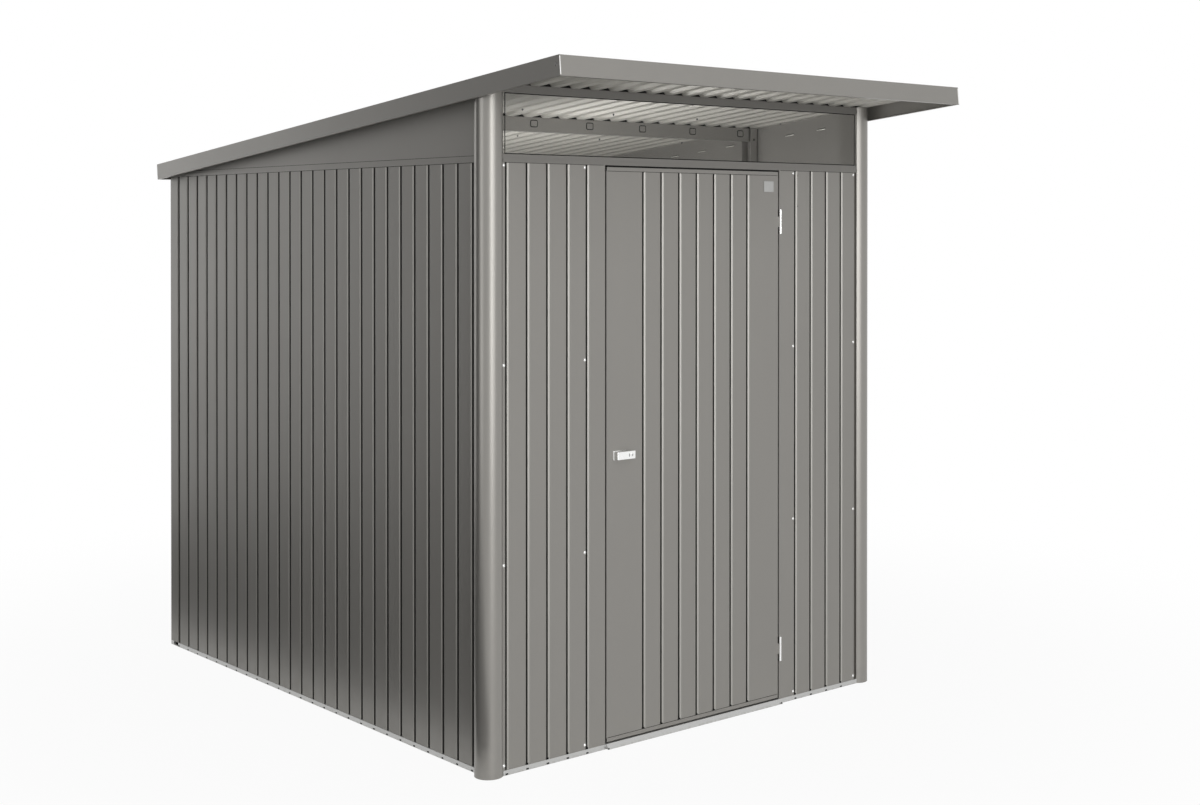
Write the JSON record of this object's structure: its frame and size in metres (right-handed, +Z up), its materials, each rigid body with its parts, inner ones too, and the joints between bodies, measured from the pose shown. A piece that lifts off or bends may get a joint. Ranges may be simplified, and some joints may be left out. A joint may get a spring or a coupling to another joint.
{
  "type": "metal tool shed",
  "caption": "Hollow metal garden tool shed with ribbed sheet walls, a ribbed hinged door with lever handle, round front posts and a lean-to trapezoid roof with deep front overhang.",
  "frame": {"origin": "on the ground under the middle of the roof's outline", "axes": "+X to the right along the front, the front and door face -Y, +Z up"},
  "size_m": [1.802, 2.5894, 2.17],
  "materials": {
    "wall_coat": "satin quartz-grey stoving enamel on galvanised sheet",
    "frame_coat": "satin quartz-grey stoving enamel",
    "fascia_coat": "satin grey enamel",
    "post_coat": "satin coated aluminium extrusion",
    "roof_coat": "pale coil-coated trapezoid sheet",
    "bare_rail": "mill-finish aluminium",
    "clear_pane": "clear acrylic",
    "bright_handle": "polished die-cast",
    "hinge_steel": "bright stainless steel",
    "plate_metal": "satin anodised blank plate"
  },
  "bodies": {
    "shed": {"base_rail_front_left": "bare_rail", "base_rail_front_right": "bare_rail", "base_rail_left": "bare_rail", "base_rail_rear": "bare_rail", "base_rail_right": "bare_rail", "beam_clips": "frame_coat", "door_jamb_left": "frame_coat", "door_jamb_right": "frame_coat", "door_sill": "bare_rail", "fascia_front": "fascia_coat", "fascia_left": "fascia_coat", "fascia_rear": "fascia_coat", "fascia_right": "fascia_coat", "front_pane": "clear_pane", "front_post_left": "post_coat", "front_post_right": "post_coat", "front_wall_left": "wall_coat", "front_wall_right": "wall_coat", "gable_left": "wall_coat", "gable_right": "wall_coat", "hinge_pins": "hinge_steel", "left_wall": "wall_coat", "mid_post_left": "frame_coat", "mid_post_right": "frame_coat", "rear_corner_left": "wall_coat", "rear_corner_right": "wall_coat", "rear_wall": "wall_coat", "right_wall": "wall_coat", "roof_beam_front": "frame_coat", "roof_beam_mid": "frame_coat", "roof_sheet": "roof_coat", "top_rail_front": "wall_coat", "top_rail_left": "wall_coat", "top_rail_rear": "frame_coat", "top_rail_right": "wall_coat"},
    "door": {"door_skin": "wall_coat", "door_stiles": "frame_coat", "door_bottom_rail": "frame_coat", "door_top_rail": "frame_coat", "door_mid_rail": "frame_coat", "door_plate": "plate_metal", "lock_case": "frame_coat", "hinge_knuckles": "hinge_steel", "handle_rose": "bright_handle"},
    "handle": {"handle_lever": "bright_handle"}
  },
  "joints": [
    {"name": "door_hinge", "type": "hinge", "parent": "shed", "child": "door", "pos_m": [0.402, -0.90501, 0], "axis": [0, 0, 1], "range_deg": [0, 105]},
    {"name": "handle_turn", "type": "hinge", "parent": "door", "child": "handle", "pos_m": [-0.352, -0.90001, 0.942], "axis": [0, 1, 0], "range_deg": [0, 90]}
  ]
}
